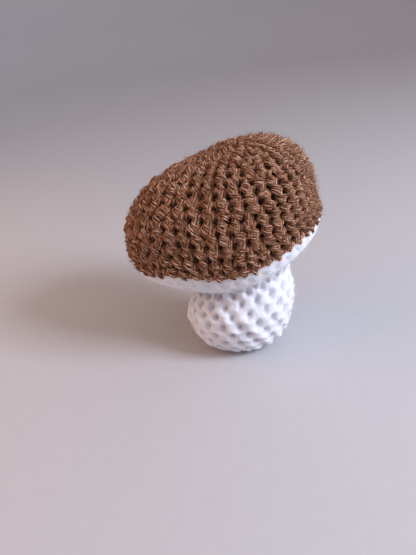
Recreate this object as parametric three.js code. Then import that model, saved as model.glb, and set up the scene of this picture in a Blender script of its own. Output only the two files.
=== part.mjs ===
// A crocheted porcini mushroom: a brown domed cap with a white underside, standing on a round
// white stem. Every cover is worked in rounds of single crochet, shown here as one raised bump
// for each stitch with a hollow at its corners, and is stuffed with loose polyester fibre.
// Millimetres, +Z up, front towards -Y. The base of the stem stands on z = 0.
import * as THREE from 'three';

// Cap, in its own frame with z = 0 at the widest round.
const CAP_RADIUS = 30;
const CAP_DOME_HEIGHT = 25.5;
const CAP_FULLNESS = 2.64; // 2 gives an elliptical dome, more gives squarer shoulders
const RIM_RADIUS = 29.8;
const RIM_DROP = 5.6;
const CAP_CENTRE = new THREE.Vector3(-2.2, 5.3, 40.6);
const CAP_TILT_X = THREE.MathUtils.degToRad(-5);
const CAP_TILT_Y = THREE.MathUtils.degToRad(-16.4);
const DOME_SLANT = new THREE.Vector2(0.18, 0.08); // sideways slip of the dome per mm of height

// The hand-stuffed cap is not quite round. Its plan and its rim swell and dip in waves.
const PLAN_WAVE = { cos2: 0.119, sin2: -0.014, cos3: -0.047, sin3: 0 };
const RIM_WAVE = { cos2: 2.05, sin2: 2.2, cos3: -1, sin3: -1.2 };

// Underside of the cap, from the rim to the hole that the stem is sewn into.
const UNDERSIDE_DEPTH = 14.6;
const HOLE_RADIUS = 15;

// Stem.
const BASE_RADIUS = 8.8;
const STEM_RADIUS = 18.6;
const STEM_RADIUS_HEIGHT = 15;
const NECK_RADIUS = 13.5;
const NECK_HEIGHT = 28.4;
// Middle of the stem at its base, at each quarter of its height and at its neck.
const STEM_LINE = new THREE.CatmullRomCurve3([
  new THREE.Vector3(-0.4, 1.5, 0),
  new THREE.Vector3(0.1, 0.5, 0.25 * NECK_HEIGHT),
  new THREE.Vector3(0.6, 0.7, 0.5 * NECK_HEIGHT),
  new THREE.Vector3(2.1, 3, 0.75 * NECK_HEIGHT),
  new THREE.Vector3(1.5, 4.2, NECK_HEIGHT),
]);

// Crochet fabric.
const FABRIC = 3.6;
const STITCH_RELIEF = 1.5;
const CAP_LEAN = 0.28; // part of a stitch that each round lies past the round before it
const STEM_LEAN = -0.52;
const CAP_PHASE = 0.0111; // part of a turn at which the first stitch of each round starts
const STEM_PHASE = 0.025;
const SAMPLES_PER_STITCH = 3;
const TOOTH = 1.1;
const GAP = 0.35;

// Stitches in each round. The cap starts at its crown, the stem at its base and the underside at
// the rim.
const CAP_ROUNDS = [6, 12, 18, 24, 30, 30, 36, 36, 36, 42, 42, 42, 48, 48];
const UNDERSIDE_ROUNDS = [48, 42, 36, 30, 24];
const STEM_ROUNDS = [6, 12, 18, 20, 20, 20, 20, 20, 20, 20, 20, 20, 20];
// Where the rounds start on the profile, as a share of its length, for a number of rounds in.
const capStart = (round) => Math.min(1, (round < 4 ? 1.135 * round : round + 0.54) / 14.25);
const stemStart = (round) => Math.min(1, (round < 3 ? 1.13 * round : round + 0.39) / 13);
const undersideStart = (round) => round / UNDERSIDE_ROUNDS.length;
// The crown, where the cap's first round is, off the middle of the dome in shares of its profile.
const CROWN = new THREE.Vector2(0.19, -0.047);
const JOINING_STITCHES = 22;

const TURN = 2 * Math.PI;
const smooth = (value) => THREE.MathUtils.smoothstep(value, 0, 1);

/** Waves of a hand-made outline at the angle a. */
function wave(amount, a) {
  return amount.cos2 * Math.cos(2 * a) + amount.sin2 * Math.sin(2 * a)
    + amount.cos3 * Math.cos(3 * a) + amount.sin3 * Math.sin(3 * a);
}

// Angles on the cap run evenly by length along its uneven plan, as equal stitches do.
const PLAN_STEPS = 720;
const planPoints = Array.from({ length: PLAN_STEPS + 1 }, (_, i) => {
  const a = (TURN * i) / PLAN_STEPS;
  const radius = 1 + wave(PLAN_WAVE, a);
  return new THREE.Vector2(radius * Math.cos(a), radius * Math.sin(a));
});
const planLengths = [0];
for (let i = 1; i <= PLAN_STEPS; i++) {
  planLengths.push(planLengths[i - 1] + planPoints[i].distanceTo(planPoints[i - 1]));
}

/** The plain angle at an even one. */
function planAngle(even) {
  const turns = even / TURN - Math.floor(even / TURN);
  const length = turns * planLengths[PLAN_STEPS];
  const i = Math.max(1, planLengths.findIndex((value) => value >= length));
  const part = (length - planLengths[i - 1]) / (planLengths[i] - planLengths[i - 1]);
  return (TURN * (i - 1 + part)) / PLAN_STEPS;
}

/** Puts a point of the cap's plain turned shape onto the tilted, slightly uneven cap. */
function placeOnCap(r, z, even) {
  const a = planAngle(even);
  const rise = Math.max(z, 0);
  const outward = z < 0 ? smooth((r - HOLE_RADIUS) / (RIM_RADIUS - HOLE_RADIUS)) : 1;
  const radius = r * (1 + wave(PLAN_WAVE, a) * outward);
  const lift = wave(RIM_WAVE, a) * Math.max(0, 1 - rise / CAP_DOME_HEIGHT) * outward;
  return new THREE.Vector3(
    radius * Math.cos(a) + DOME_SLANT.x * rise,
    radius * Math.sin(a) + DOME_SLANT.y * rise,
    z + lift,
  )
    .applyAxisAngle(new THREE.Vector3(1, 0, 0), CAP_TILT_X)
    .applyAxisAngle(new THREE.Vector3(0, 1, 0), CAP_TILT_Y)
    .add(CAP_CENTRE);
}

/**
 * Puts a point of the stem's plain turned shape onto the stem, whose neck bends with the cap and
 * whose base is pressed flat.
 */
function placeOnStem(r, height, a) {
  const z = Math.max(height, 0);
  const bend = smooth((z - 4) / (NECK_HEIGHT - 4));
  return new THREE.Vector3(r * Math.cos(a), r * Math.sin(a), 0)
    .applyAxisAngle(new THREE.Vector3(1, 0, 0), CAP_TILT_X * bend)
    .applyAxisAngle(new THREE.Vector3(0, 1, 0), CAP_TILT_Y * bend)
    .add(STEM_LINE.getPoint(THREE.MathUtils.clamp(z / NECK_HEIGHT, 0, 1)).setZ(z));
}

// Outer profiles as (radius, height) curves.
const domePoints = [];
for (let i = 0; i <= 28; i++) {
  const t = (TURN / 4) * (1 - i / 28);
  domePoints.push(new THREE.Vector2(
    CAP_RADIUS * Math.max(Math.cos(t), 0) ** (2 / CAP_FULLNESS),
    CAP_DOME_HEIGHT * Math.max(Math.sin(t), 0) ** (2 / CAP_FULLNESS),
  ));
}
for (let i = 1; i <= 6; i++) {
  const s = i / 6;
  domePoints.push(new THREE.Vector2(
    RIM_RADIUS + (CAP_RADIUS - RIM_RADIUS) * Math.sqrt(1 - s * s),
    -RIM_DROP * s,
  ));
}
const domeProfile = new THREE.SplineCurve(domePoints);

const undersidePoints = [];
for (let i = 0; i <= 12; i++) {
  const t = (TURN / 4) * (i / 12);
  undersidePoints.push(new THREE.Vector2(
    HOLE_RADIUS + (RIM_RADIUS - 0.5 - HOLE_RADIUS) * Math.cos(t),
    -RIM_DROP - GAP - (UNDERSIDE_DEPTH - RIM_DROP - GAP) * Math.sin(t),
  ));
}
const undersideProfile = new THREE.SplineCurve(undersidePoints);

const stemPoints = [new THREE.Vector2(0, 0), new THREE.Vector2(BASE_RADIUS * 0.5, 0)];
for (let i = 0; i <= 10; i++) {
  const t = (TURN / 4) * (i / 10);
  stemPoints.push(new THREE.Vector2(
    BASE_RADIUS + (STEM_RADIUS - BASE_RADIUS) * Math.sin(t),
    STEM_RADIUS_HEIGHT * (1 - Math.cos(t)),
  ));
}
for (let i = 1; i <= 8; i++) {
  const t = i / 8;
  stemPoints.push(new THREE.Vector2(
    NECK_RADIUS + ((STEM_RADIUS - NECK_RADIUS) * (1 + Math.cos(Math.PI * t))) / 2,
    STEM_RADIUS_HEIGHT + (NECK_HEIGHT - STEM_RADIUS_HEIGHT) * t,
  ));
}
const stemProfile = new THREE.SplineCurve(stemPoints);

/**
 * A point on a profile, moved inwards square to it. The share runs from 0 to 1 along it, and side
 * is 1 where the profile starts at the bottom of the piece and -1 where it starts at the top.
 */
function onProfile(curve, share, inset, side) {
  const point = curve.getPointAt(share);
  const tangent = curve.getTangentAt(share);
  point.x -= tangent.y * inset * side;
  point.y += tangent.x * inset * side;
  point.x = Math.max(point.x, 0);
  return point;
}

/** Depth below the crests, for a place inside a stitch: u runs round, v runs across the round. */
function hollow(u, v) {
  const across = Math.sin(Math.PI * v);
  const round = Math.abs(Math.sin(Math.PI * u));
  return STITCH_RELIEF * (1 - (0.2 + 0.8 * Math.sqrt(round)) * (0.25 + 0.75 * across));
}

/** Place within its stitch of a sample at angle a in the given round. */
function alongStitch({ rounds, lean, phase }, round, a) {
  const turns = (a / TURN - phase) * rounds[round] - round * lean;
  return turns - Math.floor(turns);
}

/** Where a place given by share and angle about the crown lies about the middle of the dome. */
function fromCrown(share, a) {
  const east = share * Math.cos(a) + CROWN.x * (1 - share ** 2);
  const north = share * Math.sin(a) + CROWN.y * (1 - share ** 2);
  return { share: Math.min(1, Math.hypot(east, north)), a: Math.atan2(north, east) };
}

/**
 * Rings of a cover's outer face, two for each round: one in the groove and one on the crest. Small
 * rounds may have fewer samples.
 */
function stitchedRings({ work, curve, place, side, around, first, last, depthAt, about }) {
  const { rounds, start } = work;
  const rings = [];
  for (let k = first; k <= last; k++) {
    const share = start(k / 2);
    const round = Math.min(Math.floor(k / 2), rounds.length - 1);
    const samples = 6 * rounds[round] <= around ? around / 3 : around;
    const ring = [];
    for (let i = 0; i < samples; i++) {
      const a = (TURN * i) / samples;
      const depth = depthAt(hollow(alongStitch(work, round, a), k % 2 ? 0.5 : 0), share);
      const spot = about ? about(share, a) : { share, a };
      const point = onProfile(curve, spot.share, depth, side);
      ring.push(place(point.x, point.y, spot.a));
    }
    rings.push(ring);
  }
  return rings;
}

/** Plain rings at a fixed depth inside the cover, from one share of the profile to another. */
function plainRings({ curve, place, side, around, inset, from, to, count }) {
  const rings = [];
  for (let k = 0; k <= count; k++) {
    const point = onProfile(curve, from + ((to - from) * k) / count, inset, side);
    const ring = [];
    for (let i = 0; i < around; i++) {
      const a = (TURN * i) / around;
      ring.push(place(point.x, point.y, a));
    }
    rings.push(ring);
  }
  return rings;
}

/**
 * Skin over a run of rings. A ring may have a whole number of times more points than the next
 * one. A run with ends is closed at each end by a single point; one without returns to its start.
 */
function skin(rings, ends) {
  const positions = [];
  const starts = rings.map((ring) => {
    const start = positions.length / 3;
    ring.forEach((p) => positions.push(p.x, p.y, p.z));
    return start;
  });
  const index = [];
  const bridge = (m, n) => {
    const fine = rings[m].length >= rings[n].length ? m : n;
    const coarse = fine === m ? n : m;
    const fineCount = rings[fine].length;
    const coarseCount = rings[coarse].length;
    const ratio = fineCount / coarseCount;
    const turn = (a, b, c) => (fine === m ? index.push(a, b, c) : index.push(a, c, b));
    for (let j = 0; j < coarseCount; j++) {
      const here = starts[coarse] + j;
      const next = starts[coarse] + ((j + 1) % coarseCount);
      const half = Math.ceil(ratio / 2);
      for (let s = 0; s < ratio; s++) {
        const a = starts[fine] + ((j * ratio + s) % fineCount);
        const b = starts[fine] + ((j * ratio + s + 1) % fineCount);
        if (s === half) turn(a, next, here);
        turn(a, b, s < half ? here : next);
      }
      if (half >= ratio) {
        turn(starts[fine] + (((j + 1) * ratio) % fineCount), next, here);
      }
    }
  };
  for (let k = 0; k + 1 < rings.length; k++) bridge(k, k + 1);
  if (ends) {
    const cap = (k, point, forward) => {
      const centre = positions.length / 3;
      positions.push(point.x, point.y, point.z);
      const count = rings[k].length;
      for (let i = 0; i < count; i++) {
        const a = starts[k] + i;
        const b = starts[k] + ((i + 1) % count);
        if (forward) index.push(centre, b, a);
        else index.push(centre, a, b);
      }
    };
    cap(0, ends[0], true);
    cap(rings.length - 1, ends[1], false);
  } else {
    bridge(rings.length - 1, 0);
  }
  const geometry = new THREE.BufferGeometry();
  geometry.setAttribute('position', new THREE.Float32BufferAttribute(positions, 3));
  geometry.setIndex(index);
  // Turn the faces outwards if the run was laid the other way round.
  let volume = 0;
  const [p, q, r] = [new THREE.Vector3(), new THREE.Vector3(), new THREE.Vector3()];
  for (let i = 0; i < index.length; i += 3) {
    p.fromArray(positions, 3 * index[i]);
    q.fromArray(positions, 3 * index[i + 1]);
    r.fromArray(positions, 3 * index[i + 2]);
    volume += p.dot(q.cross(r));
  }
  if (volume < 0) {
    for (let i = 0; i < index.length; i += 3) {
      [index[i + 1], index[i + 2]] = [index[i + 2], index[i + 1]];
    }
    geometry.setIndex(index);
  }
  geometry.computeVertexNormals();
  return geometry;
}

const around = Math.max(...CAP_ROUNDS) * SAMPLES_PER_STITCH;
const coarse = around / SAMPLES_PER_STITCH;

// Brown cap cover: a stitched dome, open below, whose last round ends in one tooth a stitch.
const capWork = { rounds: CAP_ROUNDS, start: capStart, lean: CAP_LEAN, phase: CAP_PHASE };
const capOuter = stitchedRings({
  work: capWork,
  curve: domeProfile,
  place: placeOnCap,
  side: -1,
  around,
  first: 1,
  last: 2 * CAP_ROUNDS.length,
  depthAt: (depth) => depth,
  about: fromCrown,
});
const lastRound = CAP_ROUNDS.length - 1;
const tooth = (a) => TOOTH * Math.abs(Math.sin(Math.PI * alongStitch(capWork, lastRound, a)));
capOuter[capOuter.length - 1] = capOuter[capOuter.length - 1].map((_, i) => {
  const a = (TURN * i) / around;
  return placeOnCap(RIM_RADIUS - 0.3, -RIM_DROP - tooth(a), a);
});
const capInner = plainRings({
  curve: domeProfile,
  place: placeOnCap,
  side: -1,
  around: coarse,
  inset: FABRIC,
  from: 1,
  to: 0.06,
  count: 11,
});
const crown = onProfile(domeProfile, CROWN.length(), STITCH_RELIEF, -1);
const capCover = skin(
  [...capOuter, ...capInner],
  [placeOnCap(crown.x, crown.y, CROWN.angle()), placeOnCap(0, CAP_DOME_HEIGHT - FABRIC, 0)],
);

// White underside of the cap: a ring whose outer edge fills the spaces between the brown teeth.
const undersideOuter = stitchedRings({
  work: { rounds: UNDERSIDE_ROUNDS, start: undersideStart, lean: CAP_LEAN, phase: 0 },
  curve: undersideProfile,
  place: placeOnCap,
  side: -1,
  around,
  first: 1,
  last: 2 * UNDERSIDE_ROUNDS.length,
  depthAt: (depth, share) => depth * (1 - 0.7 * share),
});
const edgeRing = (radius) => Array.from({ length: around }, (_, i) => {
  const a = (TURN * i) / around;
  return placeOnCap(radius, -RIM_DROP - GAP - tooth(a), a);
});
const undersideInner = plainRings({
  curve: undersideProfile,
  place: placeOnCap,
  side: -1,
  around: coarse,
  inset: FABRIC - 0.4,
  from: 1,
  to: 0.22,
  count: 4,
});
const underside = skin([
  edgeRing(RIM_RADIUS - 0.9),
  ...undersideOuter,
  ...undersideInner,
  edgeRing(RIM_RADIUS - FABRIC - 0.2),
]);

// White stem cover: a stitched bulb with a closed flat base, open at the neck.
const stemAround = Math.max(...STEM_ROUNDS) * SAMPLES_PER_STITCH;
const baseShare = BASE_RADIUS / stemProfile.getLength();
const stemOuter = stitchedRings({
  work: { rounds: STEM_ROUNDS, start: stemStart, lean: STEM_LEAN, phase: STEM_PHASE },
  curve: stemProfile,
  place: placeOnStem,
  side: 1,
  around: stemAround,
  first: 1,
  last: 2 * STEM_ROUNDS.length,
  depthAt: (depth, share) => (
    depth * smooth((share - baseShare) / 0.12) * (1 - 0.6 * smooth(2 * share - 1))
  ),
});
const stemInner = plainRings({
  curve: stemProfile,
  place: placeOnStem,
  side: 1,
  around: stemAround / SAMPLES_PER_STITCH,
  inset: FABRIC,
  from: 1,
  to: 0.1,
  count: 9,
});
const stemCover = skin(
  [...stemOuter, ...stemInner],
  [placeOnStem(0, 0, 0), placeOnStem(0, FABRIC, 0)],
);

// Yarn that whips the neck of the stem into the hole of the underside: a ring of slanting turns.
const JOIN_RADIUS = 1.4;
const joinRings = [];
const joinAround = JOINING_STITCHES * SAMPLES_PER_STITCH;
for (let k = 0; k < 8; k++) {
  const t = (TURN * k) / 8;
  const ring = [];
  for (let i = 0; i < joinAround; i++) {
    const a = (TURN * i) / joinAround;
    const turns = (a / TURN) * JOINING_STITCHES + k / 8;
    const raised = 0.3 + 0.4 * Math.abs(Math.sin(Math.PI * turns));
    const outward = Math.max(0, Math.cos(t - TURN * 0.875));
    const thick = JOIN_RADIUS * (0.7 + raised * outward);
    ring.push(placeOnCap(
      HOLE_RADIUS + 0.75 + thick * Math.cos(t),
      -UNDERSIDE_DEPTH - 0.7 * JOIN_RADIUS - GAP + thick * Math.sin(t),
      a,
    ));
  }
  joinRings.push(ring);
}
const joiningYarn = skin(joinRings);

// Loose polyester fibre that fills the cap, and that which fills the stem up to its neck.
const capFillTop = plainRings({
  curve: domeProfile,
  place: placeOnCap,
  side: -1,
  around: coarse,
  inset: FABRIC + GAP,
  from: 0.06,
  to: 1,
  count: 11,
});
const capFillBottom = plainRings({
  curve: undersideProfile,
  place: placeOnCap,
  side: -1,
  around: coarse,
  inset: FABRIC + GAP,
  from: 0.3,
  to: 1,
  count: 4,
});
const fillFloor = -UNDERSIDE_DEPTH + FABRIC + GAP;
const capStuffing = skin([...capFillTop, ...capFillBottom], [
  placeOnCap(0, CAP_DOME_HEIGHT - FABRIC - GAP, 0),
  placeOnCap(0, fillFloor, 0),
]);
const stemStuffing = skin(
  plainRings({
    curve: stemProfile,
    place: placeOnStem,
    side: 1,
    around: stemAround / SAMPLES_PER_STITCH,
    inset: FABRIC + GAP,
    from: 0.1,
    to: 1,
    count: 9,
  }),
  [placeOnStem(0, FABRIC + GAP, 0), placeOnStem(0, NECK_HEIGHT, 0)],
);

const brownYarn = new THREE.MeshStandardMaterial({ color: 0x6e503a, roughness: 0.95, metalness: 0 });
const whiteYarn = new THREE.MeshStandardMaterial({ color: 0xe4e0de, roughness: 0.95, metalness: 0 });
const fibreFill = new THREE.MeshStandardMaterial({ color: 0xf2f2ef, roughness: 1, metalness: 0 });

const mushroom = new THREE.Group();
for (const [name, geometry, material] of [
  ['cap_cover', capCover, brownYarn],
  ['cap_underside', underside, whiteYarn],
  ['cap_stuffing', capStuffing, fibreFill],
  ['stem_cover', stemCover, whiteYarn],
  ['stem_stuffing', stemStuffing, fibreFill],
  ['joining_yarn', joiningYarn, whiteYarn],
]) {
  const mesh = new THREE.Mesh(geometry, material);
  mesh.name = name;
  mushroom.add(mesh);
}

// The origin lies under the middle of the whole mushroom, at the height that it stands on.
const bounds = new THREE.Box3().setFromObject(mushroom, true);
const middle = bounds.getCenter(new THREE.Vector3());
mushroom.position.set(-middle.x, -middle.y, -bounds.min.z);
mushroom.updateMatrixWorld(true);

export default mushroom;
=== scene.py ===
"""A crocheted porcini mushroom: brown cap, white underside, round white stem, all stuffed."""
from math import cos, pi, radians, sin, sqrt, tau

import bmesh
import bpy
import numpy as np
from mathutils import Matrix, Vector, noise


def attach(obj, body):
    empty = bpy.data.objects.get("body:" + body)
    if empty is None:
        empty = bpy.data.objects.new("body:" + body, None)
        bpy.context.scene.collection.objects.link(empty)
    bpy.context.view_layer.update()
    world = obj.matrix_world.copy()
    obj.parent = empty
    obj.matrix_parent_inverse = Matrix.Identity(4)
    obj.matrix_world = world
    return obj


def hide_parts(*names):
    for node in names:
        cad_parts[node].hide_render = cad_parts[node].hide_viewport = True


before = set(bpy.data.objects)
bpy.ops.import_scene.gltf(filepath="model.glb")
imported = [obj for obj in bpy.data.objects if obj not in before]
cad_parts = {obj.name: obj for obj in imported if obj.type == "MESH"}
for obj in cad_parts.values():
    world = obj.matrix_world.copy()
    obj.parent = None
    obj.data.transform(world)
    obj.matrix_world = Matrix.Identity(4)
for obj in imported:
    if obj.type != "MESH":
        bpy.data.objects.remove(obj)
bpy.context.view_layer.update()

# Camera
# A phone held close, a little above the cap and looking down at it. It is about 190 mm from the
# foot of the stem and slightly off level, so the view leans. Colours are shown plainly.
bpy.context.scene.view_settings.view_transform = 'Standard'
MM = 0.001
# The sizes below have their origin under the stem. The frame has its origin under the whole.
SHIFT = Vector((3.5566, -5.2160, 0.0)) * MM
CAMERA_PLACE = Vector((0.0, -156.8, 106.0)) * MM
SENSOR_HEIGHT = 24.0  # mm
PICTURE_HEIGHT, FOCAL_LENGTH = 555, 521.25  # both in the picture's pixels

camera_data = bpy.data.cameras.new("photo_camera")
camera = bpy.data.objects.new("photo_camera", camera_data)
bpy.context.scene.collection.objects.link(camera)
yaw, pitch, roll = radians(-3.57), radians(27.39), radians(-6.76)
look = Vector((sin(yaw) * cos(pitch), cos(yaw) * cos(pitch), -sin(pitch)))
level = look.cross(Vector((0, 0, 1))).normalized()
upright = level.cross(look)
right = level * cos(roll) + upright * sin(roll)
top = upright * cos(roll) - level * sin(roll)
stance = Matrix((right, top, -look)).transposed().to_4x4()
camera.matrix_world = Matrix.Translation(SHIFT + CAMERA_PLACE) @ stance
camera_data.sensor_fit = 'VERTICAL'
camera_data.sensor_height = SENSOR_HEIGHT
camera_data.lens = SENSOR_HEIGHT * FOCAL_LENGTH / PICTURE_HEIGHT
camera_data.clip_start = 0.005
camera_data.clip_end = 20
bpy.context.scene.camera = camera

# Table and light
# A pale matt table top. A soft window light comes from high on the right and a little in front,
# and the room's own dim warm light from the other side.
def linear(hex_colour):
    """A hex sRGB colour as the linear colour that the shader wants."""
    parts = [int(hex_colour[i:i + 2], 16) / 255 for i in (1, 3, 5)]
    return [c / 12.92 if c <= 0.04045 else ((c + 0.055) / 1.055) ** 2.4 for c in parts] + [1.0]


def new_material(name):
    """An empty node material and its shader."""
    material = bpy.data.materials.new(name)
    material.use_nodes = True
    return material, material.node_tree.nodes["Principled BSDF"]


def add_node(material, kind, settings=None, **links):
    """One node. A link's value is a socket to join, or a plain value for that input."""
    node = material.node_tree.nodes.new(kind)
    for name, value in (settings or {}).items():
        setattr(node, name, value)
    for name, value in links.items():
        key = int(name[1:]) if name[1:].isdigit() else name.replace("_", " ")
        socket = node.inputs[key]
        if isinstance(value, bpy.types.NodeSocket):
            material.node_tree.links.new(value, socket)
        else:
            socket.default_value = value
    return node


# White laminate is pressed flat, so it is matt and even, with only a faint fine grain.
laminate, shader = new_material("white_laminate")
grain = add_node(laminate, "ShaderNodeTexNoise", Scale=900.0, Detail=2.0)
tint = add_node(laminate, "ShaderNodeMix", {"data_type": 'RGBA'}, Factor=grain.outputs["Fac"],
                _6=linear("#bdbcbf"), _7=linear("#c3c2c5"))
laminate.node_tree.links.new(tint.outputs[2], shader.inputs["Base Color"])
shader.inputs["Roughness"].default_value = 0.7

# The top runs on flat and far off turns up all round, so that no edge of it is seen. In metres.
TABLE_PROFILE = ((0, 0, 0), (0.9, 0, 0), (1.2, 0, 0.08), (1.42, 0, 0.3), (1.5, 0, 0.9))
bm = bmesh.new()
edge = [bm.verts.new(p) for p in TABLE_PROFILE]
rim = [bm.edges.new(pair) for pair in zip(edge, edge[1:])]
bmesh.ops.spin(bm, geom=edge + rim, cent=(0, 0, 0), axis=(0, 0, 1), angle=tau, steps=48,
               use_merge=True)
bmesh.ops.remove_doubles(bm, verts=bm.verts, dist=1e-5)
bmesh.ops.recalc_face_normals(bm, faces=bm.faces)
if sum(f.normal.z * f.calc_area() for f in bm.faces) < 0:
    bmesh.ops.reverse_faces(bm, faces=bm.faces)
floor_mesh = bpy.data.meshes.new("table_top")
bm.to_mesh(floor_mesh)
bm.free()
for face in floor_mesh.polygons:
    face.use_smooth = True
floor_mesh.materials.append(laminate)
floor = bpy.data.objects.new("table_top", floor_mesh)
bpy.context.scene.collection.objects.link(floor)

world = bpy.data.worlds.new("room")
bpy.context.scene.world = world
world.use_nodes = True
# The room is pale in front and to the right, and dim and warm behind and to the left.
background = world.node_tree.nodes["Background"]
outward = add_node(world, "ShaderNodeTexCoord")
toward = add_node(world, "ShaderNodeVectorMath", {"operation": 'DOT_PRODUCT'},
                  _0=outward.outputs["Generated"], _1=(0.72, -0.45, 0.53))
side_share = add_node(world, "ShaderNodeMapRange", {"interpolation_type": 'SMOOTHSTEP'},
                      Value=toward.outputs["Value"], From_Min=-0.3, From_Max=0.9)
room = add_node(world, "ShaderNodeMix", {"data_type": 'RGBA'}, Factor=side_share.outputs["Result"],
                _6=linear("#8a5c38"), _7=linear("#eceaf2"))
world.node_tree.links.new(room.outputs[2], background.inputs["Color"])
background.inputs["Strength"].default_value = 0.85

LIT_HEIGHT = 38  # mm, the height that the lights are aimed at


def soft_light(name, place, size, power, colour):
    """A square area light aimed at the middle of the mushroom. Place and size are in mm."""
    data = bpy.data.lights.new(name, 'AREA')
    data.size = size * MM
    data.energy = power
    data.color = linear(colour)[:3]
    light = bpy.data.objects.new(name, data)
    light.visible_camera = False
    bpy.context.scene.collection.objects.link(light)
    here = Vector(place) * MM
    aim = (Vector((0, 0, LIT_HEIGHT * MM)) - here).to_track_quat('-Z', 'Y')
    light.matrix_world = Matrix.Translation(here) @ aim.to_matrix().to_4x4()


soft_light("window", (420, -200, 330), 200, 3.4, "#e6eeff")
soft_light("room_bounce", (-300, -20, 160), 300, 0.5, "#ffc9a0")

# Brown cap cover
# The cap is worked in single crochet in rounds, from a ring of six stitches at the crown to 48 at
# the rim. It is soft acrylic yarn of five plies, stuffed firmly enough to open a small hole beside
# each stitch. Its sizes are in mm. A fullness of 2 would make a plain dome, and more is squarer.
CAP_RADIUS, DOME_HEIGHT, FULLNESS = 30.0, 25.5, 2.64
RIM_RADIUS, RIM_DROP, HOLE_RADIUS = 29.8, 5.6, 15.0
CAP_CENTRE = np.array([-2.2, 5.3, 40.6])
DOME_SLANT = (0.18, 0.08)  # mm that the dome leans over, for each mm of its height
TILT_X, TILT_Y = radians(-5.0), radians(-16.4)
CAP_TURN = np.array(Matrix.Rotation(TILT_Y, 3, 'Y') @ Matrix.Rotation(TILT_X, 3, 'X'))
CAP_ROUNDS = [6, 12, 18, 24, 30, 30, 36, 36, 36, 42, 42, 42, 48, 48]
CAP_LEAN = 0.28  # of a stitch, that each round is turned on from the one before
CAP_PHASE = 0.468 / 42  # of a turn, to where the first stitch starts
CREST = 1.75  # mm from the middle of the fabric out to the tops of the stitches
SLACK = 0.2  # mm that the covers are smaller before they are stuffed
# The crown, where the rounds start, sits a little to one side of the top of the dome, by these
# shares of the way down to the rim.
CROWN = (0.19, -0.047)


def plan_wave(a):
    """How far the cap's plan stands out from a circle at each angle, as a share of its radius."""
    return 0.119 * np.cos(2 * a) - 0.014 * np.sin(2 * a) - 0.047 * np.cos(3 * a)


# Stitches are equally wide, so their angles are spaced by length along the uneven plan.
angles = np.linspace(-pi, pi, 721)
outline = (1 + plan_wave(angles))[:, None] * np.stack([np.cos(angles), np.sin(angles)], -1)
walked = np.concatenate([[0], np.cumsum(np.linalg.norm(np.diff(outline, axis=0), axis=1))])
even_angles = walked / walked[-1] * tau - pi


def place_on_cap(r, z, a):
    """Points of the plain turned cap, moved onto the tilted and slightly uneven one, in mm."""
    rise = np.maximum(z, 0)
    t = np.clip((r - HOLE_RADIUS) / (RIM_RADIUS - HOLE_RADIUS), 0, 1)
    outward = np.where(z < 0, t * t * (3 - 2 * t), 1.0)
    a = np.interp((a + pi) % tau - pi, even_angles, angles)
    plan = plan_wave(a)
    lift = 2.05 * np.cos(2 * a) + 2.2 * np.sin(2 * a) - np.cos(3 * a) - 1.2 * np.sin(3 * a)
    radius = r * (1 + plan * outward)
    p = np.stack([
        radius * np.cos(a) + DOME_SLANT[0] * rise,
        radius * np.sin(a) + DOME_SLANT[1] * rise,
        z + lift * np.maximum(0, 1 - rise / DOME_HEIGHT) * outward,
    ], -1)
    return p @ CAP_TURN.T + CAP_CENTRE


def even_profile(points, count):
    """A profile of (radius, height) points, respaced evenly along its length, with normals."""
    points = np.array(points)
    steps = np.linalg.norm(np.diff(points, axis=0), axis=1)
    along = np.concatenate([[0], np.cumsum(steps)])
    at = np.linspace(0, along[-1], count)
    even = np.stack([np.interp(at, along, points[:, k]) for k in (0, 1)], -1)
    tangent = np.gradient(even, axis=0)
    tangent /= np.linalg.norm(tangent, axis=1)[:, None]
    return even, np.stack([-tangent[:, 1], tangent[:, 0]], -1), along[-1]


def read_values(data, name, width):
    """One attribute of all of a mesh's points, as rows of the given width."""
    values = np.empty(len(data) * width)
    data.foreach_get(name, values)
    return values.reshape(-1, width)


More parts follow.
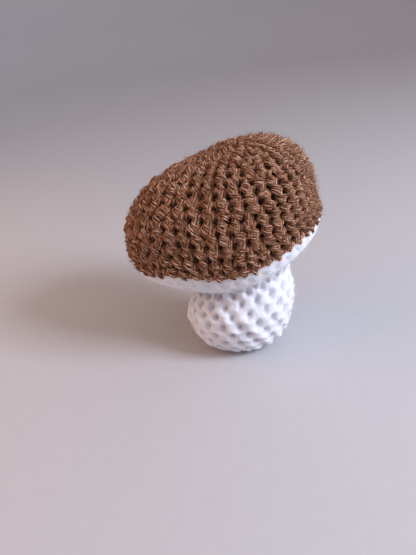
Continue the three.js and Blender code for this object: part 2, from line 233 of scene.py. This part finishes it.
class Fabric:
    """The middle surface of a cover as a grid, looked up by angle and by share of its profile."""

    ROWS, COLUMNS = 57, 126

    def __init__(self, profile, place, side, inset=CREST + SLACK, crown=(0, 0)):
        even, normal, self.length = even_profile(profile, self.ROWS)
        even = even + side * inset * normal
        even[:, 0] = np.maximum(even[:, 0], 0.02)
        a = np.arange(self.COLUMNS) * tau / self.COLUMNS
        r = np.repeat(even[:, :1], self.COLUMNS, 1)
        z = np.repeat(even[:, 1:], self.COLUMNS, 1)
        self.grid = place(r, z, np.broadcast_to(a, r.shape))
        self.side = side
        self.crown = crown

    def at(self, a, share):
        """Smooth lookup of points, by a cubic curve through the grid both ways."""
        def weights(t):
            return np.stack([
                -0.5 * t + t * t - 0.5 * t ** 3, 1 - 2.5 * t * t + 1.5 * t ** 3,
                0.5 * t + 2 * t * t - 1.5 * t ** 3, -0.5 * t * t + 0.5 * t ** 3,
            ], -1)
        share = np.clip(share, 0.0, 1.0)
        east = share * np.cos(a) + self.crown[0] * (1 - share ** 2)
        north = share * np.sin(a) + self.crown[1] * (1 - share ** 2)
        x = np.arctan2(north, east) / tau * self.COLUMNS
        y = np.hypot(east, north) * (self.ROWS - 1)
        xi, yi = np.floor(x).astype(int), np.clip(np.floor(y).astype(int), 0, self.ROWS - 2)
        wx, wy = weights(x - xi), weights(y - yi)
        p = 0
        for j in range(4):
            row = np.clip(yi + j - 1, 0, self.ROWS - 1)
            for i in range(4):
                column = (xi + i - 1) % self.COLUMNS
                p = p + (wy[:, j] * wx[:, i])[:, None] * self.grid[row, column]
        return p

    def surface(self, a, share):
        """Points and outward normals."""
        e = 1e-3
        p = self.at(a, share)
        da = self.at(a + 10 * e, share) - self.at(a - 10 * e, share)
        ds = self.at(a, np.minimum(share + 4 * e, 1)) - self.at(a, np.maximum(share - 4 * e, 0))
        n = np.cross(ds, da) * -self.side
        n /= np.maximum(np.linalg.norm(n, axis=1), 1e-9)[:, None]
        return p, n


def stuff(name, fabrics, limit):
    """
    Fills the closed bag that the fabrics make together. A cloth simulation blows the bag up, and
    each fabric follows it by no more than the limit, in mm.
    """
    rows, columns = 15, 42  # points of the bag along each fabric and around it
    cell, reach = 4.0, 4.0  # mm, of the bag's even mesh and of the smoothing of its movement
    last_frame = 20
    bm = bmesh.new()
    bmesh.ops.create_grid(bm, x_segments=columns, y_segments=rows * len(fabrics) - 1, size=0.5)
    flat = np.array([v.co for v in bm.verts]) + 0.5
    row = np.round(flat[:, 1] * (rows * len(fabrics) - 1)).astype(int)
    for k, fabric in enumerate(fabrics):
        part = np.flatnonzero(row // rows == k)
        # The bag's first ring stays a little open, and is closed with one face.
        share = np.maximum(row[part] % rows / (rows - 1), 0.06 if k == 0 else 0.0)
        bm.verts.ensure_lookup_table()
        for i, place in zip(part, fabric.at(flat[part, 0] * tau, share)):
            bm.verts[i].co = place * MM
    bmesh.ops.remove_doubles(bm, verts=bm.verts, dist=1e-5)
    bmesh.ops.holes_fill(bm, edges=bm.edges)
    bmesh.ops.recalc_face_normals(bm, faces=bm.faces)
    mesh = bpy.data.meshes.new(name)
    bm.to_mesh(mesh)
    bm.free()
    bag = bpy.data.objects.new(name, mesh)
    scene = bpy.context.scene
    scene.collection.objects.link(bag)
    even = bag.modifiers.new("even_cells", 'REMESH')
    even.mode, even.voxel_size = 'VOXEL', cell * MM
    graph = bpy.context.evaluated_depsgraph_get()
    bag.data = bpy.data.meshes.new_from_object(bag.evaluated_get(graph))
    bag.modifiers.clear()
    before = read_values(bag.data.vertices, "co", 3)
    outward = read_values(bag.data.vertices, "normal", 3)
    cloth = bag.modifiers.new("filling", 'CLOTH')
    cloth.settings.quality = 6
    # Crochet stretches far more easily than woven cloth.
    cloth.settings.mass = 0.001
    cloth.settings.tension_stiffness = 0.3
    cloth.settings.compression_stiffness = 0.3
    cloth.settings.shear_stiffness = 0.3
    cloth.settings.bending_stiffness = 0.05
    cloth.settings.use_pressure = True
    cloth.settings.uniform_pressure_force = 4.0
    cloth.settings.effector_weights.gravity = 0.0
    cloth.point_cache.frame_start, cloth.point_cache.frame_end = 1, last_frame
    for number in range(1, last_frame + 1):
        scene.frame_set(number)
    graph = bpy.context.evaluated_depsgraph_get()
    filled = bpy.data.meshes.new_from_object(bag.evaluated_get(graph))
    move = (read_values(filled.vertices, "co", 3) - before) / MM
    before = before / MM
    scene.frame_set(1)
    bpy.data.objects.remove(bag)
    move = outward * np.clip((move * outward).sum(1), 0, limit)[:, None]
    for fabric in fabrics:
        grid = fabric.grid.reshape(-1, 3)
        for start in range(0, len(grid), fabric.COLUMNS):
            part = grid[start:start + fabric.COLUMNS]
            apart = ((part[:, None] - before[None]) ** 2).sum(-1)
            weight = np.exp(-apart / (2 * reach ** 2))
            part += weight @ move / weight.sum(1)[:, None]


DOME_STEPS, RIM_STEPS, UNDERSIDE_STEPS = 56, 8, 32
dome = []
for i in range(DOME_STEPS + 1):
    t = (pi / 2) * (1 - i / DOME_STEPS)
    dome.append((CAP_RADIUS * max(cos(t), 0) ** (2 / FULLNESS),
                 DOME_HEIGHT * max(sin(t), 0) ** (2 / FULLNESS)))
for i in range(1, RIM_STEPS + 1):
    s = i / RIM_STEPS
    dome.append((RIM_RADIUS + (CAP_RADIUS - RIM_RADIUS) * sqrt(1 - s * s), -RIM_DROP * s))
cap_fabric = Fabric(dome, place_on_cap, -1, crown=CROWN)

# The cap's bag is closed below by the flat underside, which sags fuller on the left.
UNDERSIDE_DEPTH = 14.6


def underside_profile(fullness):
    """The underside from behind the brown rim in to the hole. It is fuller with a lower number."""
    profile = [(RIM_RADIUS - 0.2, -RIM_DROP + 1.0)]
    for i in range(UNDERSIDE_STEPS + 1):
        t = (pi / 2) * i / UNDERSIDE_STEPS
        profile.append((
            HOLE_RADIUS + (RIM_RADIUS - 0.5 - HOLE_RADIUS) * max(cos(t), 0) ** fullness,
            -RIM_DROP - 0.35 - (UNDERSIDE_DEPTH - RIM_DROP - 0.35) * sin(t),
        ))
    return profile


underside_fabric = Fabric(underside_profile(1.0), place_on_cap, -1)
full_underside = Fabric(underside_profile(0.7), place_on_cap, -1)
turned = np.arange(Fabric.COLUMNS) * tau / Fabric.COLUMNS - radians(190)
sag = ((1 + np.cos(turned)) / 2) ** 2
underside_fabric.grid += (full_underside.grid - underside_fabric.grid) * sag[None, :, None]
stuff("cap_bag", [cap_fabric, underside_fabric], 0.9)

# One stitch, in mm: x runs round, y runs from the hole towards the next round, z stands out. Its
# two legs of yarn fan out of the hole, bulge, and dive behind the stitch below.
STITCH_WIDTH, ROUND_HEIGHT = 4.4, 3.65
YARN_RADIUS = 0.98
LEG_A = ((0.8, -0.2, -1.3), (1.05, 0.0, 0.0), (1.6, 0.3, 0.75), (2.3, 0.65, 1.0),
         (3.05, 1.1, 0.8), (3.65, 1.5, 0.0), (3.9, 1.75, -1.2))
LEG_B = ((0.55, 0.75, -1.3), (0.75, 1.05, 0.0), (1.25, 1.6, 0.75), (1.95, 2.2, 1.0),
         (2.65, 2.75, 0.75), (3.2, 3.2, -0.1), (3.45, 3.5, -1.2))
LEG_SWELL = (0.7, 0.85, 1.0, 1.08, 1.05, 0.95, 0.75)
PLIES = 5


def yarn_strands(name, paths, radius, swell, section_radii, turns=0.0, capped=True):
    """
    Strands along the paths, each a curve that twists as it goes. Its section is a polygon with the
    given radii, as shares of the strand's radius: on yarn high on each ply and low between them.
    """
    section = bpy.data.curves.new(name + "_section", 'CURVE')
    section.dimensions = '2D'
    edge = section.splines.new('POLY')
    edge.points.add(len(section_radii) - 1)
    for i, (point, r) in enumerate(zip(edge.points, section_radii)):
        a = tau * i / len(section_radii)
        point.co = (r * cos(a), r * sin(a), 0, 1)
    edge.use_cyclic_u = True
    section_object = bpy.data.objects.new(name + "_section", section)
    bpy.context.scene.collection.objects.link(section_object)
    curve = bpy.data.curves.new(name, 'CURVE')
    curve.dimensions = '3D'
    curve.bevel_mode = 'OBJECT'
    curve.bevel_object = section_object
    curve.use_fill_caps = capped
    for path in paths:
        spline = curve.splines.new('POLY')
        spline.points.add(len(path) - 1)
        for i, (point, place) in enumerate(zip(spline.points, path)):
            point.co = (*place, 1)
            point.radius = radius * swell[i]
            point.tilt = tau * turns * i / (len(path) - 1)
    holder = bpy.data.objects.new(name, curve)
    bpy.context.scene.collection.objects.link(holder)
    graph = bpy.context.evaluated_depsgraph_get()
    mesh = bpy.data.meshes.new_from_object(holder.evaluated_get(graph))
    for thing in (holder, section_object):
        bpy.data.objects.remove(thing)
    return mesh


def stitch_patterns(name, legs, radius, count, seed, groove=0.4):
    """A few versions of one stitch, each with its yarn lying a little differently."""
    draw = np.random.default_rng(seed)
    patterns = []
    for k in range(count):
        paths = []
        for leg in legs:
            path = np.array(leg)
            path += draw.normal(0, 1, path.shape) * np.array((0.16, 0.16, 0.12))
            path += draw.normal(0, 1, (1, 3)) * np.array((0.16, 0.16, 0.14))
            paths.append(path)
        patterns.append(yarn_strands(
            f"{name}_{k}", paths, radius * draw.uniform(0.92, 1.08), LEG_SWELL,
            (1.0, groove) * PLIES, draw.uniform(0.15, 0.35)
        ))
    return patterns


def crochet(name, fabric, rounds, starts, patterns, seed, lean, phase=0.0, swell=1.0,
            overhang=1.0):
    """Works the stitches round by round on the fabric's middle surface, as one mesh."""
    draw = np.random.default_rng(seed)
    chosen = [(row, k, int(draw.integers(len(patterns))))
              for row, count in enumerate(rounds) for k in range(count)]
    bm = bmesh.new()
    for _, _, which in chosen:
        bm.from_mesh(patterns[which])
    mesh = bpy.data.meshes.new(name)
    bm.to_mesh(mesh)
    bm.free()
    local = read_values(mesh.vertices, "co", 3)
    angle, share, out, tone = (np.empty(len(local)) for _ in range(4))
    v = 0
    for row, k, which in chosen:
        part = slice(v, v + len(patterns[which].vertices))
        v = part.stop
        x, y, z = local[part].T
        # It is handwork, so each stitch leans, sits and stands out a little differently.
        tip = draw.normal(0, 0.12)
        x, y = x - tip * y, y + tip * x
        shift = draw.normal(0, 0.045, 2)
        turn = (k + row * lean + x / STITCH_WIDTH + shift[0]) / rounds[row] + phase
        angle[part] = turn * tau
        height = starts[row + 1] - starts[row]
        y = y * (overhang if row == len(rounds) - 1 else 1.0)
        share[part] = starts[row] + (y / ROUND_HEIGHT + shift[1]) * height
        out[part] = z * draw.uniform(0.85, 1.15) * swell
        tone[part] = draw.random()
    p, normal = fabric.surface(angle, np.clip(share, 0.0, 1.0))
    # Yarn that passes the last round hangs on straight beyond it.
    edge, _ = fabric.surface(angle, np.full_like(share, 1.0))
    before, _ = fabric.surface(angle, np.full_like(share, 0.985))
    along = edge - before
    along /= np.maximum(np.linalg.norm(along, axis=1), 1e-9)[:, None]
    p = p + normal * out[:, None] + along * (np.maximum(share - 1, 0) * fabric.length)[:, None]
    p[:, 2] = np.maximum(p[:, 2], 0.0)  # what the mushroom stands on is pressed flat
    mesh.vertices.foreach_set("co", ((p * MM) + np.array(SHIFT)).ravel())
    mesh.attributes.new("stitch", 'FLOAT', 'POINT').data.foreach_set("value", tone)
    mesh.attributes.new("height", 'FLOAT', 'POINT').data.foreach_set("value", out)
    mesh.update()
    for face in mesh.polygons:
        face.use_smooth = True
    return mesh


def lining(name, fabric, rounds, starts, lean, phase, hole, columns, rows, low, high, width,
           lobes=(), lobe_size=1.0, lobe_rise=0.0, rough=0.0):
    """
    The backs of the stitches: a closed skin just under their crests that dips into a pit at each
    hole. The hole is at the start or at the end of its stitch, low and high are the heights of the
    skin in a pit and away from it, and width is how wide a pit is, all in mm. Where the yarn is so
    soft that its strands run together, each stitch is a few lobes of this skin, with their middles
    given as shares of the stitch. Rough is how uneven the pits and the skin are.
    """
    up_scale = 0.8  # distances up count less, so pits are a quarter taller than they are wide
    # One unit of the UV map is so many mm along the profile, and a stitch around is this share of one.
    yarn_run, stitch_run = 7.0, 0.7
    bm = bmesh.new()
    uv_layer = bm.loops.layers.uv.new("UVMap")
    tone_layer = bm.verts.layers.float.new("stitch")
    height_layer = bm.verts.layers.float.new("height")
    bmesh.ops.create_grid(bm, x_segments=columns, y_segments=rows, size=0.5)
    flat = np.array([v.co for v in bm.verts]) + 0.5
    angle, share = flat[:, 0] * tau, flat[:, 1]
    p, normal = fabric.surface(angle, share)
    near = np.full(len(flat), 9.0)
    draw = np.random.default_rng(len(flat))
    for row, count in enumerate(rounds):
        aside = draw.normal(0, rough, (2, count))
        size = draw.uniform(1 - rough, 1 + rough, count)
        at = starts[row + hole]
        ring, _ = fabric.surface(np.arange(90) * tau / 90, np.full(90, min(at, 1.0)))
        stitch_width = np.linalg.norm(np.diff(ring, axis=0), axis=1).sum() / count
        turns = (angle / tau - phase) * count - (row + hole) * lean
        nearest = np.round(turns).astype(int)
        across = (turns - nearest) * stitch_width + aside[0, nearest % count]
        along = (share - at) * fabric.length * up_scale + aside[1, nearest % count]
        near = np.minimum(near, np.hypot(across, along) / size[nearest % count])
    t = np.clip(near / width, 0, 1)
    t = t * t * (3 - 2 * t)
    out = low + (high - low) * t
    # The lobes of every round are spaced by the stitch width of the last one.
    for row, count in enumerate(rounds if lobes else ()):
        height = starts[row + 1] - starts[row]
        y = (share - starts[row]) / height
        turns = (angle / tau - phase) * count - (row + y) * lean
        first = np.floor(turns).astype(int)
        for middle in lobes:
            aside = draw.normal(0, 0.2, (2, count))
            rise = draw.uniform(0.6, 1.4, count) * lobe_rise
            for stitch in (first - 1, first, first + 1):
                x = (turns - stitch - middle[0]) * stitch_width + aside[0, stitch % count]
                z = (y - middle[1]) * height * fabric.length + aside[1, stitch % count]
                out += rise[stitch % count] * np.exp(-(x * x + z * z) / (2 * lobe_size ** 2)) * t
    if rough:
        out += rough * t * np.array([1.6 * noise.noise(Vector(q) / 1.4)
                                     + 0.9 * noise.noise(Vector(q) / 0.7) for q in p])
    p = (p + normal * out[:, None]) * MM + np.array(SHIFT)
    p[:, 2] = np.maximum(p[:, 2], 0.0)
    for face in bm.faces:
        for loop in face.loops:
            u, v = flat[loop.vert.index][:2]
            loop[uv_layer].uv = (v * fabric.length / yarn_run, u * max(rounds) * stitch_run)
    for vert, place, h in zip(bm.verts, p, out):
        vert.co = place
        vert[tone_layer] = 0.5
        vert[height_layer] = h
    bmesh.ops.remove_doubles(bm, verts=bm.verts, dist=2e-5)
    bmesh.ops.recalc_face_normals(bm, faces=bm.faces)
    mesh = bpy.data.meshes.new(name)
    bm.to_mesh(mesh)
    bm.free()
    for face in mesh.polygons:
        face.use_smooth = True
    return mesh


def whole_piece(name, mesh, material, replaced=None, rounded=True):
    """Puts a finished mesh into the scene as one piece of the mushroom."""
    piece = bpy.data.objects.new(name, mesh)
    bpy.context.scene.collection.objects.link(piece)
    mesh.materials.clear()
    mesh.materials.append(material)
    if rounded:
        smooth = piece.modifiers.new("rounding", 'SUBSURF')
        smooth.levels = smooth.render_levels = 1
    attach(piece, "root")
    if replaced:
        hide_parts(replaced)


cap_patterns = stitch_patterns("cap_stitch", (LEG_A, LEG_B), YARN_RADIUS, 6, 11)
# The first four rounds are a little taller, and the last one ends just past the rim.
cap_starts = np.interp(range(len(CAP_ROUNDS) + 1), (0, 4, 14), (0, 4.54, 14.54)) / 14.25
cap_mesh = crochet("cap_yarn", cap_fabric, CAP_ROUNDS, cap_starts, cap_patterns, 21, CAP_LEAN,
                   CAP_PHASE, overhang=1.12)
# The lining is the backs of the stitches; deep in each hole the painted shade of the brown yarn
# darkens it nearly to black.
cap_lining_mesh = lining("cap_lining", cap_fabric, CAP_ROUNDS, cap_starts, CAP_LEAN, CAP_PHASE, 0,
                         240, 72, -1.5, 0.9, 1.7)

# Brown melange acrylic: fibres of several browns, carded together and spun into soft plies. The
# colour runs in short streaks along each ply, and the surface is matt. The colour also carries
# painted shade, darker deep in the stitches and between the plies.
brown_acrylic, shader = new_material("brown_melange_acrylic")
strand = add_node(brown_acrylic, "ShaderNodeUVMap", {"uv_map": "UVMap"})
tone = add_node(brown_acrylic, "ShaderNodeAttribute", {"attribute_name": "stitch"})
offset = add_node(brown_acrylic, "ShaderNodeCombineXYZ", Z=tone.outputs["Fac"])
placed = add_node(brown_acrylic, "ShaderNodeVectorMath", {"operation": 'ADD'},
                  _0=strand.outputs["UV"], _1=offset.outputs["Vector"])
streaked = add_node(brown_acrylic, "ShaderNodeMapping", Vector=placed.outputs["Vector"],
                    Scale=(3.5, 16.0, 60.0))
streaks = add_node(brown_acrylic, "ShaderNodeTexNoise", Vector=streaked.outputs["Vector"],
                   Scale=1.0, Detail=3.0, Roughness=0.6)
browns = add_node(brown_acrylic, "ShaderNodeValToRGB", Fac=streaks.outputs["Fac"])
ramp = browns.color_ramp
ramp.elements[0].position, ramp.elements[0].color = 0.34, linear("#452413")
ramp.elements[1].position, ramp.elements[1].color = 0.68, linear("#ffdcc0")
for position, colour in ((0.45, "#834f33"), (0.55, "#cb9270")):
    ramp.elements.new(position).color = linear(colour)
# Painted shade: the lower the yarn lies, the darker its colour, down to nearly black deep in a
# stitch and in its pit.
height = add_node(brown_acrylic, "ShaderNodeAttribute", {"attribute_name": "height"})
deep_shade = add_node(brown_acrylic, "ShaderNodeMapRange", {"interpolation_type": 'SMOOTHSTEP'},
                 Value=height.outputs["Fac"], From_Min=-1.1, From_Max=0.9, To_Min=0.06, To_Max=1.0)
# Painted shade: the colour is darker in the grooves between two plies.
around = add_node(brown_acrylic, "ShaderNodeSeparateXYZ", Vector=strand.outputs["UV"])
lobe = add_node(brown_acrylic, "ShaderNodeMath", {"operation": 'MULTIPLY'},
                _0=around.outputs["Y"], _1=tau * PLIES)
crest = add_node(brown_acrylic, "ShaderNodeMath", {"operation": 'COSINE'}, _0=lobe.outputs[0])
between = add_node(brown_acrylic, "ShaderNodeMapRange", Value=crest.outputs[0], From_Min=-1.0,
                   From_Max=0.6, To_Min=0.35, To_Max=1.0)
# Both painted shades together darken the melange colour.
painted_shade = add_node(brown_acrylic, "ShaderNodeMath", {"operation": 'MULTIPLY'},
                 _0=deep_shade.outputs["Result"], _1=between.outputs["Result"])
shaded = add_node(brown_acrylic, "ShaderNodeMix", {"data_type": 'RGBA', "blend_type": 'MULTIPLY'},
                  Factor=1.0, _6=browns.outputs["Color"], _7=painted_shade.outputs[0])
brown_acrylic.node_tree.links.new(shaded.outputs[2], shader.inputs["Base Color"])
raised = add_node(brown_acrylic, "ShaderNodeBump", Strength=1.0, Distance=0.0003,
                  Height=streaks.outputs["Fac"])
brown_acrylic.node_tree.links.new(raised.outputs["Normal"], shader.inputs["Normal"])
shader.inputs["Roughness"].default_value = 0.85
shader.inputs["Specular IOR Level"].default_value = 0.2
whole_piece("cap_yarn", cap_mesh, brown_acrylic, "cap_cover")
whole_piece("cap_lining", cap_lining_mesh, brown_acrylic, rounded=False)

# White underside cover
# The same crochet in soft white acrylic. It is a ring worked inwards from behind the cap's rim to
# the hole that the stem is sewn into, and its profile is the one that closes the cap's bag above.
UNDERSIDE_ROUNDS = [48, 42, 36, 30, 24]
UNDERSIDE_STARTS = np.linspace(0, 1, len(UNDERSIDE_ROUNDS) + 1)
white_patterns = stitch_patterns("white_stitch", (LEG_A, LEG_B), 1.3, 6, 12, groove=0.7)
underside_mesh = crochet("underside_yarn", underside_fabric, UNDERSIDE_ROUNDS,
                         UNDERSIDE_STARTS, white_patterns, 22, CAP_LEAN, 0.0, 0.55)
underside_lining_mesh = lining("underside_lining", underside_fabric, UNDERSIDE_ROUNDS,
                               UNDERSIDE_STARTS, CAP_LEAN, 0.0, 0, 192, 28, 0.6, 1.3, 1.6)

# White acrylic: the same spun fibres without the melange, matt, and pale enough to glow a little.
white_acrylic, shader = new_material("white_acrylic")
strand = add_node(white_acrylic, "ShaderNodeUVMap", {"uv_map": "UVMap"})
streaked = add_node(white_acrylic, "ShaderNodeMapping", Vector=strand.outputs["UV"],
                    Scale=(3.0, 18.0, 1.0))
streaks = add_node(white_acrylic, "ShaderNodeTexNoise", Vector=streaked.outputs["Vector"],
                   Scale=1.0, Detail=3.0, Roughness=0.6)
whites = add_node(white_acrylic, "ShaderNodeValToRGB", Fac=streaks.outputs["Fac"])
ramp = whites.color_ramp
ramp.elements[0].position, ramp.elements[0].color = 0.3, linear("#dddde3")
ramp.elements[1].position, ramp.elements[1].color = 0.7, linear("#ececf2")
# Painted shade: the colour is darkened towards the bottom of each pit, down to 0.72 of it.
height = add_node(white_acrylic, "ShaderNodeAttribute", {"attribute_name": "height"})
pit = add_node(white_acrylic, "ShaderNodeMapRange", {"interpolation_type": 'SMOOTHSTEP'},
               Value=height.outputs["Fac"], From_Min=-0.9, From_Max=0.9, To_Min=0.72, To_Max=1.0)
shaded = add_node(white_acrylic, "ShaderNodeMix", {"data_type": 'RGBA', "blend_type": 'MULTIPLY'},
                  Factor=1.0, _6=whites.outputs["Color"], _7=pit.outputs["Result"])
white_acrylic.node_tree.links.new(shaded.outputs[2], shader.inputs["Base Color"])
# Half-millimetre clumps of fibres give the white yarn its soft, crumbly look.
strewn = add_node(white_acrylic, "ShaderNodeTexCoord")
clumps = add_node(white_acrylic, "ShaderNodeTexNoise", Vector=strewn.outputs["Object"],
                  Scale=1600.0, Detail=3.0, Roughness=0.6)
softened = add_node(white_acrylic, "ShaderNodeBump", Strength=0.6, Distance=0.0004,
                    Height=clumps.outputs["Fac"])
raised = add_node(white_acrylic, "ShaderNodeBump", Strength=0.6, Distance=0.0002,
                  Height=streaks.outputs["Fac"], Normal=softened.outputs["Normal"])
white_acrylic.node_tree.links.new(raised.outputs["Normal"], shader.inputs["Normal"])
# Light spreads a millimetre or so through the pale fibres before it comes back out.
shader.inputs["Subsurface Weight"].default_value = 0.7
shader.inputs["Subsurface Radius"].default_value = (1.0, 0.95, 0.9)
shader.inputs["Subsurface Scale"].default_value = 0.0015
shader.inputs["Roughness"].default_value = 0.85
shader.inputs["Sheen Weight"].default_value = 0.2
whole_piece("underside_yarn", underside_mesh, white_acrylic, "cap_underside")
whole_piece("underside_lining", underside_lining_mesh, white_acrylic, rounded=False)

# White stem cover
# A bulb worked up from a ring of six stitches under its base to rounds of 20. The white yarn is so
# soft that its strands run together, so each stitch is two lobes of one skin, beside a pit.
BASE_RADIUS, STEM_RADIUS, STEM_RADIUS_HEIGHT = 8.8, 18.6, 15.0
NECK_RADIUS, NECK_HEIGHT = 15.0, 28.4
# How far the middle of the stem is to the side at even steps up from its base to its neck.
STEM_LINE = np.array([(-0.4, 1.5), (0.1, 0.5), (0.6, 0.7), (2.1, 3.0), (1.5, 4.2)])
STEM_ROUNDS = [6, 12, 18] + [20] * 10
STEM_STARTS = np.interp(range(len(STEM_ROUNDS) + 1), (0, 3, 13), (0, 3.39, 13.39)) / 13
STEM_LEAN = -0.52
UPRIGHT_HEIGHT = 4  # mm, up to where the stem stands straight on its base
STEM_LOBES = ((0.67, 0.33), (0.33, 0.67))  # the middles of a stitch's lobes, across it and up it
BULB_STEPS, NECK_STEPS = 32, 24


def place_on_stem(r, height, a):
    """Points of the plain turned stem, moved onto the one that bends with the cap, in mm."""
    z = np.maximum(height, 0)
    t = np.clip((z - UPRIGHT_HEIGHT) / (NECK_HEIGHT - UPRIGHT_HEIGHT), 0, 1)
    bend = t * t * (3 - 2 * t)
    x, y = r * np.cos(a), r * np.sin(a)
    tx, ty = TILT_X * bend, TILT_Y * bend
    y, lift = y * np.cos(tx), y * np.sin(tx)
    x, lift = x * np.cos(ty) + lift * np.sin(ty), -x * np.sin(ty) + lift * np.cos(ty)
    at = np.clip(z / NECK_HEIGHT, 0, 1) * (len(STEM_LINE) - 1)
    line = [np.interp(at, range(len(STEM_LINE)), STEM_LINE[:, k]) for k in (0, 1)]
    return np.stack([x + line[0], y + line[1], z + lift], -1)


stem = [(0.0, 0.0), (BASE_RADIUS / 2, 0.0)]
for i in range(BULB_STEPS + 1):
    t = (pi / 2) * i / BULB_STEPS
    stem.append((BASE_RADIUS + (STEM_RADIUS - BASE_RADIUS) * sin(t),
                 STEM_RADIUS_HEIGHT * (1 - cos(t))))
for i in range(1, NECK_STEPS + 1):
    s = i / NECK_STEPS
    stem.append((NECK_RADIUS + (STEM_RADIUS - NECK_RADIUS) * (1 + cos(pi * s)) / 2,
                 STEM_RADIUS_HEIGHT + (NECK_HEIGHT - STEM_RADIUS_HEIGHT) * s))
stem_fabric = Fabric(stem, place_on_stem, 1)
stuff("stem_bag", [stem_fabric], 0.9)

stem_mesh = lining("stem_yarn", stem_fabric, STEM_ROUNDS, STEM_STARTS, STEM_LEAN, 0.0, 1,
                   300, 132, -0.15, 0.8, 1.45, STEM_LOBES, 1.05, 0.85, 0.1)
whole_piece("stem_yarn", stem_mesh, white_acrylic, "stem_cover")

# Joining yarn
# The tail of white yarn that whips the neck of the stem into the hole of the underside, in 22
# slanting stitches.
JOINING_STITCHES = 22
# The radius and height of each point on the cap's own axis, in mm, and how far along its stitch.
JOINING_PATH = ((13.4, -18.6, 0.0), (15.0, -18.6, 0.1), (16.2, -17.6, 0.22),
                (16.9, -16.2, 0.38), (17.3, -14.9, 0.55), (17.4, -13.4, 0.7))
JOINING_YARN_RADIUS = 1.1
r, z, along = np.array(JOINING_PATH).T
loops = [place_on_cap(r, z, (k + along) * tau / JOINING_STITCHES) for k in range(JOINING_STITCHES)]
joining_mesh = yarn_strands("joining_loops", loops, JOINING_YARN_RADIUS,
                            (0.8, 1.0, 1.0, 1.0, 1.0, 0.8), (1.0, 0.7) * 4, 0.6)
joining_mesh.transform(Matrix.Translation(SHIFT) @ Matrix.Scale(MM, 4))
for face in joining_mesh.polygons:
    face.use_smooth = True
whole_piece("joining_loops", joining_mesh, white_acrylic, "joining_yarn")

# Stuffing
# Loose polyester fibre, pushed in by hand. None of it shows outside.
# Polyester fibre: fine crimped white fibres, which tangle to a matt cloud.
polyester, shader = new_material("polyester_fibre")
tangle = add_node(polyester, "ShaderNodeTexCoord")
wisps = add_node(polyester, "ShaderNodeTexNoise", Vector=tangle.outputs["Object"], Scale=1500.0,
                 Detail=4.0)
fluff = add_node(polyester, "ShaderNodeBump", Strength=0.8, Distance=0.0005,
                 Height=wisps.outputs["Fac"])
polyester.node_tree.links.new(fluff.outputs["Normal"], shader.inputs["Normal"])
cloud = add_node(polyester, "ShaderNodeValToRGB", Fac=wisps.outputs["Fac"])
cloud.color_ramp.elements[0].color = linear("#dcdad6")
cloud.color_ramp.elements[1].color = linear("#f6f5f2")
polyester.node_tree.links.new(cloud.outputs["Color"], shader.inputs["Base Color"])
shader.inputs["Roughness"].default_value = 0.95
for name in ("cap_stuffing", "stem_stuffing"):
    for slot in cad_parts[name].material_slots:
        slot.material = polyester

# Loose fibres
# Acrylic yarn sheds a fine halo of single fibres that stand off the stitches. They are drawn
# thicker than the real ones, which are about 0.02 mm and would not show.
FIBRE_RADIUS, FIBRE_LENGTH = 0.03, 1.1  # mm
ROOT_HEIGHT = 1.5  # mm above the middle of the fabric, at most
TABLE_GAP = 2.5  # mm above the table, below which no fibre stands off


def loose_fibres(name, fabric, count, length, crowding, seed):
    """
    Short bent fibres all over a cover, each one a three-sided strand. They lie evenly along the
    profile with a crowding of 1, and denser towards its end with less.
    """
    draw = np.random.default_rng(seed)
    share = draw.random(count) ** crowding
    angle = draw.uniform(0, tau, count)
    p, normal = fabric.surface(angle, share)
    kept = p[:, 2] > TABLE_GAP
    base = draw.uniform(0.0, ROOT_HEIGHT, count)
    lengths = length * draw.lognormal(0, 0.45, count)
    wander = draw.normal(0, 1, (count, 3))
    sideways = wander - (wander * normal).sum(1)[:, None] * normal
    sideways /= np.linalg.norm(sideways, axis=1)[:, None]
    paths = []
    for i in range(count):
        if not kept[i]:
            continue
        lean = draw.uniform(0.35, 1.3)
        first = normal[i] * cos(lean) + sideways[i] * sin(lean)
        bend = np.cross(first, draw.normal(0, 1, 3)) * draw.uniform(0.2, 0.7)
        start = p[i] + normal[i] * base[i]
        half = lengths[i] / 2
        middle = start + first * half
        second = first + bend
        end = middle + second / np.linalg.norm(second) * half
        paths.append([tuple((q * MM) + np.array(SHIFT)) for q in (start, middle, end)])
    return yarn_strands(name, paths, FIBRE_RADIUS * MM, (1.0, 1.0, 0.3), (1.0,) * 3, capped=False)


def fibre_material(name, dark, light):
    """Single acrylic fibres: smooth, slightly glossy, and no two quite the same colour."""
    material, shader = new_material(name)
    place = add_node(material, "ShaderNodeTexCoord")
    patches = add_node(material, "ShaderNodeTexNoise", Vector=place.outputs["Object"],
                       Scale=700.0, Detail=1.0)
    colours = add_node(material, "ShaderNodeValToRGB", Fac=patches.outputs["Fac"])
    colours.color_ramp.elements[0].position = 0.35
    colours.color_ramp.elements[0].color = linear(dark)
    colours.color_ramp.elements[1].position = 0.65
    colours.color_ramp.elements[1].color = linear(light)
    material.node_tree.links.new(colours.outputs["Color"], shader.inputs["Base Color"])
    shader.inputs["Roughness"].default_value = 0.6
    return material


fibre_brown = fibre_material("loose_brown_acrylic_fibre", "#5c371f", "#c08a64")
fibre_white = fibre_material("loose_white_acrylic_fibre", "#e6e5ea", "#f4f4f8")
for name, fabric, count, crowding, material, slot, seed in (
    ("cap_fibres", cap_fabric, 13000, 0.5, fibre_brown, "brown_yarn", 31),
    ("stem_fibres", stem_fabric, 15000, 1.0, fibre_white, "white_yarn", 32),
    ("underside_fibres", underside_fabric, 4000, 0.5, fibre_white, "white_yarn", 33),
):
    fibres = loose_fibres(name, fabric, count, FIBRE_LENGTH, crowding, seed)
    whole_piece(name, fibres, material, rounded=False)
